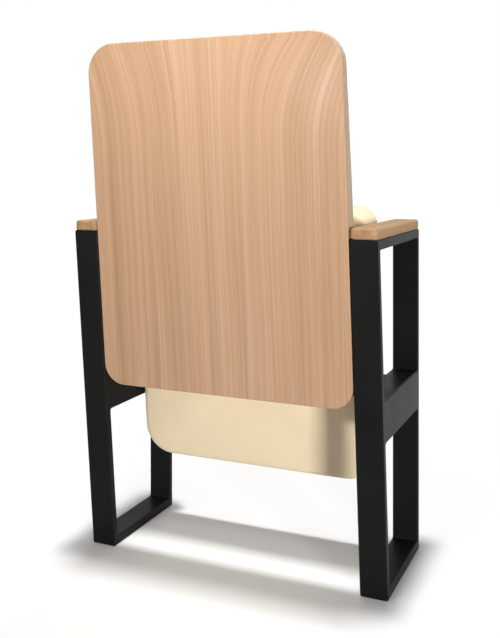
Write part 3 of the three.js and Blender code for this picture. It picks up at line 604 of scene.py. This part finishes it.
def makeCover(pad):
    # the form stands upright while it is meshed, so the faces follow its flat sides
    upright = Matrix.Rotation(leanAngle, 4, "X")
    mesh = closedForm(pad["node"], pad["shrink"])
    mesh.transform(upright)
    cover = addObject(pad["name"], mesh)
    remesh = cover.modifiers.new("evenFaces", "REMESH")
    remesh.mode = "VOXEL"
    remesh.voxel_size = pad["voxel"]
    applyModifiers(cover)
    cover.data.transform(upright.inverted())
    swell(cover, pad)
    smooth = cover.modifiers.new("settle", "SMOOTH")
    smooth.factor = pad["settleFactor"]
    smooth.iterations = pad["settle"]
    applyModifiers(cover)
    fitOutline(cover.data, pad["node"])
    rounded = cover.modifiers.new("fineFaces", "SUBSURF")
    rounded.levels = 1
    rounded.render_levels = 1
    cover.data.materials.clear()
    cover.data.materials.append(bpy.data.materials[pad["cloth"]])
    smoothFaces(cover.data)
    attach(cover, pad["body"])
    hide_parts(pad["node"])


for pad in (seatCushion, backPad):
    makeCover(pad)
print("upholstery ready")


# Return springs: round wire in place of the coarse CAD ones

spring = {
    "wire": 0.0014, "coil": 0.0122, "pitch": 0.0035, "turns": 4.25, "stepsPerTurn": 28,
    "sides": 10, "startX": 0.2355, "anchorX": 0.2485, "legX": 0.2455, "legY": -0.023,
    "bend": 0.005, "bendSteps": 6, "coilY": -0.016,
    "flangeLeg": ((0.0122, 0.0004), (0.01802, 0.01688), (0.02383, 0.03376)),
}


def springEndX(look):
    return look["startX"] - look["pitch"] * look["turns"]


def springPath(look):
    # from the hole in the bracket, round the pivot, to the hinge's flange
    startX = look["startX"]
    legY = look["legY"]
    coil = look["coil"]
    bend = look["bend"]
    points = [(x, legY, -coil) for x in (look["anchorX"], look["legX"], startX + bend)]
    for step in range(1, look["bendSteps"]):
        angle = step / look["bendSteps"] * math.pi / 2
        x = startX + bend * (1 - math.sin(angle))
        points.append((x, legY + bend * (1 - math.cos(angle)), -coil))
    points.append((startX, look["coilY"], -coil))
    count = round(look["turns"] * look["stepsPerTurn"])
    for step in range(count + 1):
        turns = look["turns"] * step / count
        angle = 2 * math.pi * turns
        x = startX - look["pitch"] * turns
        points.append((x, coil * math.sin(angle), -coil * math.cos(angle)))
    points += [(springEndX(look), y, z) for y, z in look["flangeLeg"]]
    return [Vector(point) for point in points]


def makeTube(name, path, radius, sides):
    mesh = bpy.data.meshes.new(name)
    shape = bmesh.new()
    across = Vector((0.0, 0.0, 1.0))
    rings = []
    for i, point in enumerate(path):
        ahead = (path[min(i + 1, len(path) - 1)] - path[max(i - 1, 0)]).normalized()
        across = (across - ahead * across.dot(ahead)).normalized()
        other = ahead.cross(across)
        ring = []
        for k in range(sides):
            angle = 2 * math.pi * k / sides
            ring.append(shape.verts.new(
                point + (across * math.cos(angle) + other * math.sin(angle)) * radius))
        rings.append(ring)
    for ring, following in zip(rings, rings[1:]):
        for k in range(sides):
            after = (k + 1) % sides
            shape.faces.new((ring[k], ring[after], following[after], following[k]))
    shape.faces.new(reversed(rings[0]))
    shape.faces.new(rings[-1])
    bmesh.ops.recalc_face_normals(shape, faces=shape.faces)
    for face in shape.faces:
        face.smooth = len(face.verts) == 4
    shape.to_mesh(mesh)
    shape.free()
    return addObject(name, mesh)


for side, sign in (("right", 1.0), ("left", -1.0)):
    path = [Vector((point.x * sign, point.y, point.z)) + pivot for point in springPath(spring)]
    wire = makeTube("returnSpring" + side.capitalize(), path, spring["wire"], spring["sides"])
    wire.data.materials.append(materials["spring_steel"])
    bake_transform(wire)
    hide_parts("return_spring_" + side)
print("springs ready")


# Stage, lights and camera

# the camera sees floorColour, while the object is lit by the darker floorBounce
stageLook = {
    "floorSize": 30.0, "floorColour": (0.95, 0.95, 0.95, 1.0),
    "floorBounce": (0.45, 0.45, 0.45, 1.0), "clearFrom": 0.5, "clearTo": 1.15,
    "clearWhite": 1.02, "worldLight": 0.265, "worldWhite": 1.0,
}


def seenDirectly(tree):
    # 1 where the camera or a reflection shows the surface, 0 where it only gives light
    path = tree.nodes.new("ShaderNodeLightPath").outputs
    mirrored = calc(tree, "MAXIMUM", path["Is Glossy Ray"], path["Is Transmission Ray"])
    return calc(tree, "MAXIMUM", path["Is Camera Ray"], mirrored)


def makeFloor(look):
    mesh = bpy.data.meshes.new("floor")
    reach = look["floorSize"] / 2
    corners = [(-reach, -reach, 0), (reach, -reach, 0), (reach, reach, 0), (-reach, reach, 0)]
    mesh.from_pydata(corners, [], [(0, 1, 2, 3)])
    floor = addObject("floor", mesh)
    material = bpy.data.materials.new("paleFloor")
    material.use_nodes = True
    tree = material.node_tree
    tree.nodes.clear()
    away = vectorCalc(tree, "LENGTH", placeCoordinates(tree))["Value"]
    far = remap(tree, away, look["clearFrom"], look["clearTo"], smooth=True)
    plain = addNode(tree, "ShaderNodeBsdfDiffuse", {"Color": look["floorColour"]}).outputs[0]
    dim = addNode(tree, "ShaderNodeBsdfDiffuse", {"Color": look["floorBounce"]}).outputs[0]
    white = addNode(tree, "ShaderNodeEmission", {"Strength": look["clearWhite"]}).outputs[0]
    seen = mixShaders(tree, far, plain, white)
    addNode(tree, "ShaderNodeOutputMaterial", {
        "Surface": mixShaders(tree, seenDirectly(tree), dim, seen)})
    mesh.materials.append(material)


def makeWorld(look):
    world = bpy.data.worlds.new("softRoom")
    scene.world = world
    world.use_nodes = True
    tree = world.node_tree
    background = tree.nodes["Background"]
    setInputs(background, {"Color": (1.0, 1.0, 1.0, 1.0)})
    feed(tree, background.inputs["Strength"], remap(
        tree, seenDirectly(tree), 0.0, 1.0, look["worldLight"], look["worldWhite"]))


# power is in watts and spread in degrees; a lamp without a spread shines to all its front
lamps = [
    {"name": "overheadSoftbox", "place": (-0.08, 0.2, 6.0), "target": (0.0, 0.0, 0.0),
     "size": (0.42, 0.5), "power": 240.0},
    {"name": "sideSoftbox", "place": (-3.35, 3.55, 0.4), "target": (0.0, 0.0, 0.36),
     "size": (0.9, 0.8), "power": 190.0},
    {"name": "highRearSoftbox", "place": (0.03, 0.8, 1.45), "target": (0.03, 0.16, 0.96),
     "size": (0.5, 0.25), "power": 1.3, "spread": 75.0},
    {"name": "frontSoftbox", "place": (0.8, -3.2, 0.55), "target": (0.0, 0.0, 0.5),
     "size": (1.2, 0.9), "power": 36.0, "glossy": False},
    {"name": "sheenCard", "place": (0.48, 2.2, 0.65), "target": (-0.22, 0.2, 0.875),
     "size": (0.12, 0.2), "power": 5.0, "diffuse": False},
]


def makeLamp(look):
    data = bpy.data.lights.new(look["name"], "AREA")
    data.shape = "RECTANGLE"
    data.size, data.size_y = look["size"]
    data.energy = look["power"]
    data.spread = math.radians(look.get("spread", 180.0))
    lamp = addObject(look["name"], data)
    lamp.location = look["place"]
    aim = Vector(look["target"]) - Vector(look["place"])
    lamp.rotation_euler = aim.to_track_quat("-Z", "Y").to_euler()
    lamp.visible_camera = False
    lamp.visible_diffuse = look.get("diffuse", True)
    lamp.visible_glossy = look.get("glossy", True)


photoCamera = {
    "place": (-0.6947, 1.5545, 0.7499), "turn": 23.74, "lens": 49.88, "shift": -0.2398,
    "sensor": (28.21, 36.0),
}


def makeCamera(look):
    # it stands level behind the seat
    data = bpy.data.cameras.new("photoView")
    data.sensor_fit = "VERTICAL"
    data.sensor_width, data.sensor_height = look["sensor"]
    data.lens = look["lens"]
    data.shift_y = look["shift"]
    camera = addObject("photoView", data)
    camera.location = look["place"]
    camera.rotation_euler = (math.pi / 2, 0.0, math.pi + math.radians(look["turn"]))
    scene.camera = camera


makeFloor(stageLook)
makeWorld(stageLook)
for lampLook in lamps:
    makeLamp(lampLook)
makeCamera(photoCamera)
scene.view_settings.view_transform = "Standard"
print("stage, lights and camera ready")
